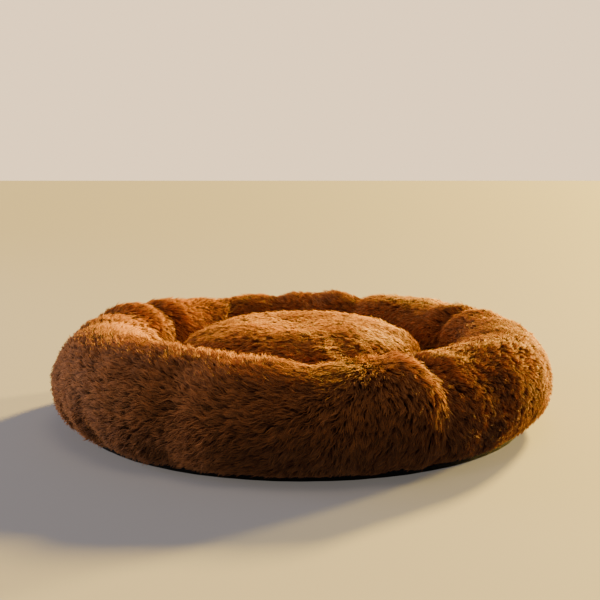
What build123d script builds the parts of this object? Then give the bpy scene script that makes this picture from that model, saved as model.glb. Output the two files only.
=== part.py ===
from build123d import *
import math
import os

# A round plush pet bed: a bolster ring on a flat base, with a loose plump cushion in its well.
# Millimetres. Z is up, the bed stands on z = 0 centred on the Z axis, and its front faces -Y.

# Bolster ring, measured over the pile
OVERALL_RADIUS = 297.0
OVERALL_HEIGHT = 120.0
BOLSTER_WIDTH = 135.0
WIDEST_Z = 51.0
PILE = 12.0                    # thickness of the plush: backing and the dense part of its pile
GORE_COUNT = 6
FIRST_SEAM_DEG = -59.0         # azimuth from +X of the seam to the right of the front
LAYER_GAP = 0.5                # air between a cover and what it holds

# Base
BASE_RADIUS = 268.0
BASE_PANEL = 3.0
SEAM_Z = 10.0                  # both edges of the plush are sewn down at this height
BAND_THICKNESS = 4.0
FLOOR_LINING = 2.0
TAPE_THICKNESS = 1.0
TAPE_WIDTH = 9.0

# Care label, sewn into the base seam at the back
LABEL_WIDTH = 30.0
LABEL_LENGTH = 20.0
LABEL_THICKNESS = 0.6
LABEL_Z = 4.0

# Cushion: a plush dome over a tapered lining with a flat bottom
CUSHION_BOTTOM_Z = 12.5
CUSHION_BOTTOM_R = 127.0
RIM_Z = 52.0
RIM_R = 145.0                  # at the seam between plush and lining
DOME_RISE = 51.0               # under the plush
DOME_SHOULDER = 42.0           # radius of the dome's side, under the plush
CUSHION_PILE_SIDE = 10.0
LINING = 1.5
BAG_INSET = 3.0                # from the cover's inside to the inner bag
BAG_THICKNESS = 1.0
FILL_INSET = 4.5

# Zip, round the back of the cushion's flank
ZIP_Z = 32.0
ZIP_START_DEG = 40.0
ZIP_ARC_DEG = 100.0
SLOT_HALF = 5.5
ZIP_TAPE_INSET = 1.7
ZIP_TAPE = 0.8
ZIP_TAPE_HEIGHT = 11.0
TOOTH_PITCH = 3.0
TOOTH_WIDTH = 1.3              # along the chain
TOOTH_LENGTH = 3.4             # across the chain
TOOTH_HEIGHT = 2.2
TOOTH_OFFSET = 1.5             # of a row's middle from the middle of the chain
TOOTH_GAP = 0.1                # between the teeth and the tape behind them
END_MARGIN_DEG = 2.0           # bare tape beyond the last teeth
STOP_LENGTH = 2.0

# Zip slider and pull
SLIDER_REST_DEG = 45.0
SLIDER_LENGTH = 9.0
SLIDER_WIDTH = 9.6
SLIDER_PLATE = 1.2
SLIDER_LIP = 0.8
SLIDER_CLEARANCE = 0.3
BRIDGE_LENGTH = 7.0
BRIDGE_WIDTH = 1.6
BRIDGE_HEIGHT = 3.2
BRIDGE_BAR = 1.0
PULL_BAR = 1.2
PULL_GAP = 0.2                 # between the pull's bar and the slider's plate
PULL_ARM_OVERLAP = 1.0         # of the arms into the tab
PULL_ARM_SPREAD = 5.0
PULL_TAB_START = 5.0
PULL_TAB_LENGTH = 14.0
PULL_TAB_WIDTH = 6.2

# Worked out from the dimensions above
RING_R = OVERALL_RADIUS - BOLSTER_WIDTH / 2
GORE_DEG = 360 / GORE_COUNT
TAPER = math.atan((RIM_R - CUSHION_BOTTOM_R) / (RIM_Z - CUSHION_BOTTOM_Z))
ZIP_R = CUSHION_BOTTOM_R + (ZIP_Z - CUSHION_BOTTOM_Z) * math.tan(TAPER)
TOOTH_BASE = -(ZIP_TAPE_INSET * math.cos(TAPER)) + TOOTH_GAP
TOOTH_TOP = TOOTH_BASE + TOOTH_HEIGHT
PLATE_BASE = TOOTH_TOP + SLIDER_CLEARANCE
PLATE_TOP = PLATE_BASE + SLIDER_PLATE
PIVOT = PLATE_TOP + PULL_GAP + PULL_BAR / 2

# On the cushion's flank at azimuth 0: x along the chain, y up the flank, z out of it
FLANK = Plane(
    origin=(ZIP_R, 0, ZIP_Z),
    x_dir=(0, 1, 0),
    z_dir=(math.cos(TAPER), 0, -math.sin(TAPER)),
)

LOW = (Align.CENTER, Align.MAX)
HIGH = (Align.CENTER, Align.MIN)
ON_FLOOR = (Align.CENTER, Align.CENTER, Align.MIN)


def spin(section, start_deg=0.0, arc_deg=360.0):
    """Turns a section, drawn as radius and height, about the Z axis."""
    return Rot(0, 0, start_deg) * revolve(Plane.XZ * section, Axis.Z, revolution_arc=arc_deg)


def above(z, width=2000.0, height=1000.0):
    """The half plane above z, for cutting sections."""
    return Pos(0, z) * Rectangle(width, height, align=HIGH)


def ring(inner_r, outer_r, low_z, high_z):
    """A flat ring, or a disc when inner_r is 0."""
    corner = Pos(inner_r, low_z)
    return spin(corner * Rectangle(outer_r - inner_r, high_z - low_z, align=(Align.MIN, Align.MIN)))


def bolster_section(inset):
    """The bolster's section, drawn in from the pile's tips at its top and sides by inset."""
    half_width = BOLSTER_WIDTH / 2 - inset
    rise = OVERALL_HEIGHT - WIDEST_Z - inset
    upper = Ellipse(half_width, rise) & Rectangle(2 * half_width, rise, align=HIGH)
    lower = Ellipse(half_width, WIDEST_Z) & Rectangle(2 * half_width, WIDEST_Z, align=LOW)
    return Pos(RING_R, WIDEST_Z) * (upper + lower)


def bolster_gore(number):
    """One panel of the plush that wraps the bolster, from the outer seam over to the inner one."""
    cover = (bolster_section(0) - bolster_section(PILE)) & above(SEAM_Z)
    return spin(cover, FIRST_SEAM_DEG + number * GORE_DEG, GORE_DEG)


def bolster_fill():
    """The fibre filling of the ring, down to the base panel."""
    return spin(bolster_section(PILE + LAYER_GAP) & above(BASE_PANEL + LAYER_GAP))


def base_side_band():
    """The strip of base fabric that turns up to the outer seam."""
    return ring(BASE_RADIUS - BAND_THICKNESS, BASE_RADIUS, BASE_PANEL, SEAM_Z)


def well_radius(z):
    """The bolster's inner radius at a height below its widest part, over the pile."""
    return RING_R - BOLSTER_WIDTH / 2 * math.sqrt(1 - ((WIDEST_Z - z) / WIDEST_Z) ** 2)


def inner_seam_tape():
    """The tape that the gores' inner edges and the floor lining are sewn to."""
    outer_r = well_radius(SEAM_Z) + TAPE_WIDTH / 2
    return ring(outer_r - TAPE_WIDTH, outer_r, SEAM_Z - TAPE_THICKNESS, SEAM_Z)


def base_wadding():
    """The thin pad between the base panel and the floor of the well."""
    outer_r = well_radius(SEAM_Z)
    return ring(0, outer_r, BASE_PANEL, SEAM_Z - TAPE_THICKNESS - LAYER_GAP)


def floor_lining():
    """The fabric floor of the well, under the cushion."""
    top_z = SEAM_Z + FLOOR_LINING
    return ring(0, well_radius(top_z) - LAYER_GAP, SEAM_Z, top_z)


def care_label():
    """A blank tab that sticks out of the base seam at the back."""
    tab = Box(LABEL_WIDTH, LABEL_LENGTH, LABEL_THICKNESS, align=(Align.CENTER, Align.MIN, Align.MIN))
    return Pos(0, BASE_RADIUS, LABEL_Z) * tab


def dome(radius, rise, shoulder):
    """Half the section of a dome on the rim's height: a shoulder arc, then a flatter arc to the axis."""
    crown = ((radius - shoulder) ** 2 + rise**2 - shoulder**2) / (2 * (rise - shoulder))
    turn = math.degrees(math.atan2(crown - rise, radius - shoulder))
    side = CenterArc((radius - shoulder, RIM_Z), shoulder, 0, turn)
    top = CenterArc((0, RIM_Z + rise - crown), crown, turn, 90 - turn)
    return make_face(side + top + Polyline((0, RIM_Z + rise), (0, RIM_Z), (radius, RIM_Z)))


def cushion_layer(inset):
    """Half the cushion's section inside the cover, drawn in by inset: dome, tapered flank, flat bottom."""
    bottom_z = CUSHION_BOTTOM_Z + inset
    bottom_r = CUSHION_BOTTOM_R + inset * math.tan(TAPER) - inset
    rim_r = RIM_R - inset
    flank = Polygon((0, bottom_z), (bottom_r, bottom_z), (rim_r, RIM_Z), (0, RIM_Z), align=None)
    return dome(rim_r, DOME_RISE - inset, DOME_SHOULDER - inset) + flank


def cushion_top_panel():
    """The plush dome, whose pile overhangs the seam with the lining."""
    outer = dome(RIM_R + CUSHION_PILE_SIDE, DOME_RISE + PILE, DOME_SHOULDER + CUSHION_PILE_SIDE)
    return spin(outer - dome(RIM_R, DOME_RISE, DOME_SHOULDER))


def flank_band(inset, thickness, low_z, high_z):
    """A section of constant thickness that follows the flank between two heights."""
    band = cushion_layer(inset) - cushion_layer(inset + thickness)
    window = Rectangle(RIM_R, high_z - low_z, align=(Align.MIN, Align.MIN))
    return band & (Pos(0, low_z) * window)


def cushion_bottom_panel():
    """The lining under the cushion, with a slot round the back for the zip."""
    shell = (cushion_layer(0) - cushion_layer(LINING)) - above(RIM_Z)
    slot = flank_band(0, LINING, ZIP_Z - SLOT_HALF, ZIP_Z + SLOT_HALF)
    return spin(shell) - spin(slot, ZIP_START_DEG, ZIP_ARC_DEG)


def inner_bag_top():
    """The upper half of the bag that holds the cushion's fibre."""
    shell = cushion_layer(BAG_INSET) - cushion_layer(BAG_INSET + BAG_THICKNESS)
    return spin(shell & above(RIM_Z))


def inner_bag_bottom():
    """The lower half of the bag that holds the cushion's fibre."""
    shell = cushion_layer(BAG_INSET) - cushion_layer(BAG_INSET + BAG_THICKNESS)
    return spin(shell - above(RIM_Z))


def zip_tape(side):
    """One half of the zip's tape, behind the slot; side is 1 above the chain and -1 below."""
    edge = ZIP_Z + side * SLIDER_CLEARANCE
    far = edge + side * ZIP_TAPE_HEIGHT
    strip = flank_band(ZIP_TAPE_INSET, ZIP_TAPE, min(edge, far), max(edge, far))
    return spin(strip, ZIP_START_DEG, ZIP_ARC_DEG)


def zip_teeth(side):
    """One row of teeth as a group of separate solids, half a pitch away from the other row."""
    pitch_deg = math.degrees(TOOTH_PITCH / ZIP_R)
    count = int((ZIP_ARC_DEG - 2 * END_MARGIN_DEG) / pitch_deg)
    first_deg = ZIP_START_DEG + END_MARGIN_DEG + (0.5 if side < 0 else 0) * pitch_deg
    middle = (TOOTH_BASE + TOOTH_TOP) / 2
    tooth = FLANK * Pos(0, side * TOOTH_OFFSET, middle) * Box(TOOTH_WIDTH, TOOTH_LENGTH, TOOTH_HEIGHT)
    return Compound(children=[Rot(0, 0, first_deg + i * pitch_deg) * tooth for i in range(count)])


def zip_stops():
    """The two end stops, clamped over the chain."""
    middle = (TOOTH_BASE + TOOTH_TOP) / 2
    stop = FLANK * Pos(0, 0, middle) * Box(STOP_LENGTH, TOOTH_LENGTH * 2, TOOTH_HEIGHT)
    ends = (ZIP_START_DEG + END_MARGIN_DEG / 2, ZIP_START_DEG + ZIP_ARC_DEG - END_MARGIN_DEG / 2)
    return Compound(children=[Rot(0, 0, azimuth) * stop for azimuth in ends])


def zip_slider():
    """The slider: a plate over the chain with a lip down each side and a bridge for the pull."""
    plate = Pos(0, 0, PLATE_BASE) * Box(SLIDER_LENGTH, SLIDER_WIDTH, SLIDER_PLATE, align=ON_FLOOR)
    lip_drop = PLATE_BASE - TOOTH_BASE - SLIDER_CLEARANCE
    lip_at = (SLIDER_WIDTH - SLIDER_LIP) / 2
    lip = Box(SLIDER_LENGTH, SLIDER_LIP, lip_drop, align=ON_FLOOR)
    body = plate + [Pos(0, side * lip_at, PLATE_BASE - lip_drop) * lip for side in (1, -1)]
    arch = Box(BRIDGE_LENGTH, BRIDGE_WIDTH, BRIDGE_HEIGHT, align=ON_FLOOR)
    opening_length = BRIDGE_LENGTH - 2 * BRIDGE_BAR
    arch -= Box(opening_length, 2 * BRIDGE_WIDTH, BRIDGE_HEIGHT - BRIDGE_BAR, align=ON_FLOOR)
    return Rot(0, 0, SLIDER_REST_DEG) * (FLANK * (body + Pos(0, 0, PLATE_TOP) * arch))


def zip_pull():
    """The pull: a bar under the slider's bridge, two arms and a rounded tab along the chain."""
    bar = Rot(90, 0, 0) * Cylinder(PULL_BAR / 2, PULL_ARM_SPREAD)
    arm_at = (PULL_ARM_SPREAD - PULL_BAR) / 2
    arm_length = PULL_TAB_START + PULL_ARM_OVERLAP
    arm = Box(arm_length, PULL_BAR, PULL_BAR, align=(Align.MIN, Align.CENTER, Align.CENTER))
    body = bar + [Pos(0, side * arm_at, 0) * arm for side in (1, -1)]
    outline = RectangleRounded(
        PULL_TAB_LENGTH - PULL_TAB_START, PULL_TAB_WIDTH, PULL_TAB_WIDTH / 3, align=(Align.MIN, Align.CENTER)
    )
    tab = Pos(PULL_TAB_START, 0, -PULL_BAR / 2) * extrude(outline, PULL_BAR)
    return Rot(0, 0, SLIDER_REST_DEG) * (FLANK * Pos(0, 0, PIVOT) * (body + tab))


def build_parts():
    """Every node of the bed by name."""
    parts = {
        "base_nonslip_panel": ring(0, BASE_RADIUS, 0, BASE_PANEL),
        "base_side_band": base_side_band(),
        "base_wadding": base_wadding(),
        "floor_lining": floor_lining(),
        "inner_seam_tape": inner_seam_tape(),
        "bolster_fill": bolster_fill(),
        "care_label": care_label(),
        "cushion_top_panel": cushion_top_panel(),
        "cushion_bottom_panel": cushion_bottom_panel(),
        "inner_bag_top": inner_bag_top(),
        "inner_bag_bottom": inner_bag_bottom(),
        "cushion_fill": spin(cushion_layer(FILL_INSET)),
        "zip_tape_upper": zip_tape(1),
        "zip_tape_lower": zip_tape(-1),
        "zip_teeth_upper": zip_teeth(1),
        "zip_teeth_lower": zip_teeth(-1),
        "zip_stops": zip_stops(),
        "zip_slider": zip_slider(),
        "zip_pull": zip_pull(),
    }
    for number in range(GORE_COUNT):
        parts[f"bolster_gore_{number + 1}"] = bolster_gore(number)
    return parts


os.makedirs("parts", exist_ok=True)
for name, shape in build_parts().items():
    export_step(shape, f"parts/{name}.step")
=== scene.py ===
import math

import bpy
import numpy as np
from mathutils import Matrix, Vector
from mathutils.kdtree import KDTree


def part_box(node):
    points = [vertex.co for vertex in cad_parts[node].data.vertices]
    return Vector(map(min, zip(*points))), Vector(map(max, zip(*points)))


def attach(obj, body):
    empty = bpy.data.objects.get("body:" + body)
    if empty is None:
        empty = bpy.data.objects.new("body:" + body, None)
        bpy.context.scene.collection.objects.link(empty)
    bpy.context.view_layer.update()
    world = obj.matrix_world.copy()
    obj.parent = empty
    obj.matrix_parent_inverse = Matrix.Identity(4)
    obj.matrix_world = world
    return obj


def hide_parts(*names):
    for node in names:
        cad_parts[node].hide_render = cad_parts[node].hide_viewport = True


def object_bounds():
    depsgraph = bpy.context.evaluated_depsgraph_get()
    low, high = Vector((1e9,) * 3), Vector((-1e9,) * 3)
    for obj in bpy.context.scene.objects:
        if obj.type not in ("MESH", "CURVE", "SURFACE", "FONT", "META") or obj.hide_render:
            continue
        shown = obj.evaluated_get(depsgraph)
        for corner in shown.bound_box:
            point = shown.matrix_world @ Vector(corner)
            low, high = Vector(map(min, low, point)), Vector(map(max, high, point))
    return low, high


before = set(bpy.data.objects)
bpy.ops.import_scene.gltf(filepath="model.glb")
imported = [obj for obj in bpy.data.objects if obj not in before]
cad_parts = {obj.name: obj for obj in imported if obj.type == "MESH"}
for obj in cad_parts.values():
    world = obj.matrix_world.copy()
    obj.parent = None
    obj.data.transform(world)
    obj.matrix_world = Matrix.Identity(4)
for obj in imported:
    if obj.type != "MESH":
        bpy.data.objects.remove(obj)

CAD_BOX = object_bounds()

# ----------------------------------------
# Sizes, in metres. The bed stands on z = 0 round the Z axis, with its front towards -Y.

OVERALL_R = CAD_BOX[1].x
OVERALL_H = CAD_BOX[1].z
BASE_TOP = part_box("base_side_band")[1].z
BASE_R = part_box("base_side_band")[1].x
BAND_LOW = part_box("base_nonslip_panel")[1].z
CUSHION_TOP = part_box("cushion_top_panel")[1].z
CUSHION_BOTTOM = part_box("cushion_bottom_panel")[0].z
CUSHION_OUTER_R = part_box("cushion_top_panel")[1].x
CUSHION_RIM_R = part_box("cushion_bottom_panel")[1].x
CUSHION_RIM_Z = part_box("cushion_top_panel")[0].z

HALF_WIDTH = 0.0675            # of the bolster over the pile
RING_R = OVERALL_R - HALF_WIDTH
WIDEST_Z = 0.051
PILE_DEPTH = 0.0045            # from the plush's backing out to the CAD surface
BACKING = 0.0015               # thickness of the plush's backing
STUFFING_GAP = 0.0015          # from the backing in to the bolster's fibre
SWELL = 0.003                  # room for the covers to swell into
GORES = 6
FIRST_SEAM = -59.0             # azimuth of the seam to the right of the front, from +X

GRID_ROUND = 360               # points of the bolster's grid round the ring
GRID_OVER = 85                 # and over its section
DOME_ROUND = 240               # points of the cushion's grid round the dome
DOME_RINGS = 61                # and from its rim to its crown
SEED = 20                      # of the bolster's pile; the cushion's is one more

NOISE_CELLS = 24               # cells of noise before it repeats
NOISE_SHIFT = 1000.0           # cells; keeps the place in the lattice positive
UP = np.array([0, 0, 1.0])
LEVEL = np.array([1.0, 1.0, 0.0])      # takes the height out of a vector


def smoothstep(x, low, high):
    t = np.clip((x - low) / (high - low), 0, 1)
    return t * t * (3 - 2 * t)


def window(x, a, b, c, d):
    """1 between b and c, fading to 0 at a and d."""
    return smoothstep(x, a, b) * (1 - smoothstep(x, c, d))


def unit(v):
    return v / np.maximum(np.linalg.norm(v, axis=-1, keepdims=True), 1e-9)


def turn_gap(a, b):
    """Signed difference of two azimuths in degrees, between -180 and 180."""
    return (np.asarray(a) - b + 180) % 360 - 180


def value_noise(points, scale, seed):
    """Smooth noise between -1 and 1 over points in space, with features of about the given size."""
    lattice = np.random.default_rng(seed).uniform(-1, 1, (NOISE_CELLS,) * 3)
    q = points / scale + NOISE_SHIFT
    cell = np.floor(q).astype(int)
    f = q - cell
    f = f * f * (3 - 2 * f)
    total = 0.0
    for dx in (0, 1):
        for dy in (0, 1):
            for dz in (0, 1):
                x, y, z = np.moveaxis((cell + np.array([dx, dy, dz])) % NOISE_CELLS, -1, 0)
                weight = np.abs(1 - dx - f[..., 0]) * np.abs(1 - dy - f[..., 1])
                total = total + lattice[x, y, z] * (weight * np.abs(1 - dz - f[..., 2]))
    return total


# ----------------------------------------
# Meshes

TURNED_ROWS = 360              # columns of a solid turned about the Z axis
STITCH = 0.0034                # length of a stitch
STITCH_THICK = 0.00045         # half its thickness
STITCH_PITCH = 0.0048


def new_object(name, verts, faces, material, smooth=True):
    mesh = bpy.data.meshes.new(name)
    mesh.from_pydata(np.reshape(verts, (-1, 3)).tolist(), [], faces)
    mesh.validate()
    return link(name, mesh, material, smooth)


def link(name, mesh, material, smooth=True):
    mesh.polygons.foreach_set("use_smooth", [smooth] * len(mesh.polygons))
    if material:
        mesh.materials.append(material)
    mesh.update()
    piece = bpy.data.objects.new(name, mesh)
    bpy.context.collection.objects.link(piece)
    return piece


def own(piece, body, node):
    """A piece that rides on a body and stands for a CAD node, which it hides."""
    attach(piece, body)
    if node:
        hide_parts(node)
    return piece


def number(grid):
    """The number of each point of a grid."""
    rows, cols = grid.shape[:2]
    return np.arange(rows * cols).reshape(rows, cols)


def grid_faces(index):
    """Quads of a grid that is closed round its first axis and open along its second."""
    after = np.roll(index, -1, 0)
    quads = np.stack([index[:, :-1], after[:, :-1], after[:, 1:], index[:, 1:]], -1)
    return quads.reshape(-1, 4).tolist()


def grid_shell(name, outer, inner, material):
    """A closed thin shell between two grids of points of the same size."""
    index = number(outer)
    count = index.size
    quad = np.stack([index[:-1, :-1], index[1:, :-1], index[1:, 1:], index[:-1, 1:]], -1)
    quad = quad.reshape(-1, 4)
    faces = [quad, quad[:, ::-1] + count]
    rim = np.concatenate([index[:, 0], index[-1, 1:], index[-2::-1, -1], index[0, -2:0:-1]])
    after = np.roll(rim, -1)
    faces.append(np.stack([after, rim, rim + count, after + count], -1))
    return new_object(name, np.concatenate([outer, inner]), np.concatenate(faces).tolist(), material)


def turned(name, profile, material, shape=None):
    """A solid turned about the Z axis: its section is a closed loop, or runs from axis to axis."""
    profile = np.array(profile)
    solid = profile[0, 0] == 0
    rings = profile[1:-1] if solid else profile
    azimuth = np.linspace(0, 2 * math.pi, TURNED_ROWS, endpoint=False)[:, None]
    x, y = rings[:, 0] * np.cos(azimuth), rings[:, 0] * np.sin(azimuth)
    points = np.stack(np.broadcast_arrays(x, y, rings[:, 1]), -1)
    if shape:
        points = shape(points)
    count = TURNED_ROWS * len(rings)
    index = np.arange(count).reshape(TURNED_ROWS, -1)
    if not solid:
        index = np.concatenate([index, index[:, :1]], 1)
    faces = grid_faces(index)
    verts = points.reshape(-1, 3)
    if solid:
        after = np.roll(index, -1, 0)
        verts = np.concatenate([verts, UP * profile[:1, 1:], UP * profile[-1:, 1:]])
        faces += np.stack([after[:, 0], index[:, 0], np.full(TURNED_ROWS, count)], -1).tolist()
        faces += np.stack([index[:, -1], after[:, -1], np.full(TURNED_ROWS, count + 1)], -1).tolist()
    return new_object(name, verts, faces, material)


def copies(name, shape_verts, shape_faces, places, right, up, material):
    """Many copies of a small closed form in one mesh, its x axis to the right and its z axis up."""
    out = np.cross(up, right)
    verts = places[:, None] + shape_verts[:, :1] * right[:, None]
    verts = verts + shape_verts[:, 1:2] * out[:, None] + shape_verts[:, 2:] * up[:, None]
    starts = range(0, verts.shape[0] * verts.shape[1], len(shape_verts))
    faces = [[first + v for v in face] for first in starts for face in shape_faces]
    return new_object(name, verts, faces, material)


def stitches(name, places, along, outward, material):
    """A row of short threads that lie along a seam, half sunk in the cloth."""
    half, thick = STITCH / 2, STITCH_THICK
    ring = [(0, thick), (-thick, 0), (0, -thick), (thick, 0)]
    rings = [(x, y, z) for x in (-half / 2, half / 2) for y, z in ring]
    verts = [(-half, 0, 0)] + rings + [(half, 0, 0)]
    faces = [(0, 1 + (m + 1) % 4, 1 + m) for m in range(4)]
    faces += [(1 + m, 1 + (m + 1) % 4, 5 + (m + 1) % 4, 5 + m) for m in range(4)]
    faces += [(5 + m, 5 + (m + 1) % 4, 9) for m in range(4)]
    return copies(name, np.array(verts), faces, places, along, outward, material)


def around(azimuth):
    """Unit vectors outwards and along the turn, at azimuths in radians from +X."""
    flat = np.zeros_like(azimuth)
    outward = np.stack([np.cos(azimuth), np.sin(azimuth), flat], -1)
    return outward, np.stack([-np.sin(azimuth), np.cos(azimuth), flat], -1)


# ----------------------------------------
# The bolster's form: a ring that is gathered at the seams and folded where the stuffing is thin.
# Angles round the section run from the outer seam (OUTER_END), over the top at 90, to the inner seam.

OUTER_END = -math.degrees(math.asin((WIDEST_Z - BASE_TOP) / WIDEST_Z))
INNER_END = 180 - OUTER_END

# azimuth from the front (degrees, + towards +X), shift of the fold per degree over the section,
# depth (m), half width (degrees of azimuth), first and last angle round the section
FOLDS = [
    (30, 0, 0.0088, 3.4, -60, 170), (-26, 0.03, 0.0045, 5.5, -60, 80),
    (-50, -0.04, 0.0035, 4, -60, 20), (-86, 0, 0.0025, 4, 40, 190),
    (-101, 0.02, 0.0035, 4, 45, 200), (-120, 0.06, 0.0065, 4.5, 20, 240),
    (-148, 0, 0.0025, 6, -60, 220), (-172, 0.02, 0.0035, 5, 30, 240),
    (158, 0, 0.0045, 5.5, 0, 240), (113, -0.08, 0.0085, 4, 10, 240),
    (72, 0, 0.0015, 5, -60, 120), (5, 0.02, 0.0016, 5, 75, 220),
    (-12, -0.05, 0.002, 5, 75, 200),
]

DEEPEST_FOLD = 0.0095          # depth at which a fold is held as firmly as a seam
FOLD_WANDER = 3.0              # degrees that a fold strays sideways
FOLD_FADE = (15, 25)           # degrees round the section, before and after a fold's end
FOLD_MIDDLE = 60               # angle round the section where a fold has its given azimuth
FOLD_SWELL = 0.28              # height of the swell beside a fold, as a share of its depth
SWELL_REACH = 3                # and its reach, in half widths of the fold
LEAN = 0.6                     # share of the swell that is missing on a fold's right
ENDS = 30                      # degrees beside the seams where the form returns to the CAD's

# azimuth from the front, angle round the section, height (m), reach round and over (degrees)
LOBES = [
    (0, 85, -0.0092, 46, 42), (24, 35, 0.0045, 8, 40),
    (64, 15, 0.0025, 20, 50), (-177, 95, 0.003, 5, 40),
    (167, 95, 0.0035, 5, 40), (158, 95, -0.003, 4, 40),
    (-60, 60, 0.0015, 16, 40), (-108, 68, 0.005, 22, 36),
    (-108, 150, -0.008, 22, 32), (92, 150, -0.006, 22, 32),
    (106, 50, 0.0075, 26, 42), (150, 85, -0.0025, 45, 45),
    (-165, 85, -0.0025, 25, 45),
]


def section(over, inset):
    """Radius and height round the bolster's section, inset inwards from the CAD surface."""
    half = HALF_WIDTH - inset
    rise = np.where(over >= 0, OVERALL_H - WIDEST_Z - inset, WIDEST_Z)
    rise = np.where(over > 180, WIDEST_Z, rise)
    angle = np.radians(over)
    return RING_R + half * np.cos(angle), WIDEST_Z + rise * np.sin(angle)


def fold_depth(front, over, wander):
    """How far the folds and the swells beside them push the surface in, and how firmly."""
    depth = np.zeros_like(front)
    held = np.zeros_like(front)
    before, after = FOLD_FADE
    for azimuth, drift, size, half_width, first, last in FOLDS:
        across = turn_gap(front, azimuth + drift * (over - FOLD_MIDDLE)) + wander
        across = across / half_width
        along = window(over, first - before, first + after, last - after, last + before)
        line = along * np.exp(-(across**2))
        swell = FOLD_SWELL * (1 - LEAN * smoothstep(across, -1.0, 1.5))
        depth += size * (line - along * swell * np.exp(-((across / SWELL_REACH) ** 2)))
        held = np.maximum(held, line * size / DEEPEST_FOLD)
    return depth, held


def bolster_grid(inset):
    """Points of the bolster's surface, azimuth (closed) by angle round the section; how firmly each is
    held; and its azimuth and angle."""
    front = np.linspace(-180, 180, GRID_ROUND, endpoint=False)[:, None]
    over = np.linspace(OUTER_END, INNER_END, GRID_OVER)[None, :]
    front, over = np.broadcast_arrays(front, over)
    radius, height = section(over, inset)
    azimuth = np.radians(front - 90)
    points = np.stack([radius * np.cos(azimuth), radius * np.sin(azimuth), height], -1)
    normal = grid_normals(points)
    ends = window(over, OUTER_END, OUTER_END + ENDS, INNER_END - ENDS, INNER_END)
    swell = 0.0026 * value_noise(points, 0.085, 3) + 0.0014 * value_noise(points, 0.035, 4)
    depth, held = fold_depth(front, over, FOLD_WANDER * value_noise(points, 0.06, 12))
    points = points + normal * ((swell + lobe_height(front, over) - depth) * ends)[..., None]
    from_seam = np.minimum(over - OUTER_END, INNER_END - over)
    held = np.maximum(np.clip(held, 0, 1) ** 2, 1 - smoothstep(from_seam, 3, 12))
    return points, held, front, over


def lobe_height(front, over):
    """Broad swells and hollows of the stuffing, outwards."""
    height = np.zeros_like(front)
    for azimuth, angle, size, reach_round, reach_over in LOBES:
        across = turn_gap(front, azimuth) / reach_round
        height += size * np.exp(-(across**2) - ((over - angle) / reach_over) ** 2)
    return height


def grid_normals(points):
    """Outward normals of a grid that is closed round its first axis."""
    along = np.roll(points, -1, 0) - np.roll(points, 1, 0)
    over = np.gradient(points, axis=1)
    return unit(np.cross(along, over))


# ----------------------------------------
# Cloth: the sewn covers are blown up by their stuffing for a moment and keep the shape they take

CLOTH_FRAMES = 20
CALM_PASSES = 3                # times that the narrowest wrinkles are smoothed
CLOTH_SLACK = 0.03             # share by which the cloth is larger than the form it is laid on


def inflate(name, grid, held, closing, pressure, most):
    """Simulate a closed cover on every second point of its grid, and move the whole grid with it.

    closing gives the faces that shut the cover, and most is the farthest that a point may move."""
    start = grid[::2, ::2]
    index = number(start)
    cover = new_object(name, start, grid_faces(index) + closing(index), None)
    sewn = cover.vertex_groups.new(name="sewn")
    for point, weight in enumerate(held[::2, ::2].ravel()):
        sewn.add([point], float(weight), "REPLACE")
    cloth = cover.modifiers.new("cloth", "CLOTH")
    cloth.collision_settings.use_collision = False
    settings = cloth.settings
    settings.quality = 6
    settings.mass = 0.15
    settings.tension_stiffness = 10
    settings.compression_stiffness = 6
    settings.shear_stiffness = 4
    settings.bending_stiffness = 0.08
    settings.air_damping = 2
    settings.use_pressure = True
    settings.uniform_pressure_force = pressure
    settings.effector_weights.gravity = 0
    settings.vertex_group_mass = "sewn"
    settings.shrink_min = -CLOTH_SLACK
    scene = bpy.context.scene
    for step in range(1, CLOTH_FRAMES + 1):
        scene.frame_set(step)
    moved = cover.evaluated_get(bpy.context.evaluated_depsgraph_get()).data
    end = np.empty(start.size, np.float32)
    moved.vertices.foreach_get("co", end)
    scene.frame_set(1)
    bpy.data.objects.remove(cover)
    move = end.reshape(start.shape) - start
    for _ in range(CALM_PASSES):
        move = calm(move)
    far = np.linalg.norm(move, axis=-1, keepdims=True)
    move = move * most * np.tanh(far / most) / np.maximum(far, 1e-9)
    move = double(move, closed=True).swapaxes(0, 1)
    return grid + double(move, closed=False).swapaxes(0, 1)


def calm(values):
    """Values of a grid, closed round its first axis, with the narrowest wrinkles taken out."""
    values = (np.roll(values, 1, 0) + 2 * values + np.roll(values, -1, 0)) / 4
    padded = np.concatenate([values[:, :1], values, values[:, -1:]], 1)
    return (padded[:, :-2] + 2 * values + padded[:, 2:]) / 4


def double(values, closed):
    """Rows put between those of a grid on a smooth curve, which closes or ends after the last."""
    before, after = values[-1:], values[:2]
    if not closed:
        before, after = 2 * values[:1] - values[1:2], 2 * values[-1:] - values[-2:-1]
    row = np.concatenate([before, values, after])
    between = (9 * (row[1:-2] + row[2:-1]) - row[:-3] - row[3:]) / 16
    out = np.empty((len(values) + len(between), *values.shape[1:]))
    out[::2] = values
    out[1::2] = between
    return out


# ----------------------------------------
# The cushion's form: a crowned dome over a tapered flank, with a flat bottom

DOME = (CUSHION_OUTER_R, CUSHION_TOP - CUSHION_RIM_Z, 0.052)     # radius, rise and shoulder
CROWN_HOLE = 0.01              # share of the way from rim to crown that is left open at the crown
PLUMPNESS = 0.0045             # rise of the shoulder over the CAD's


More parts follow.
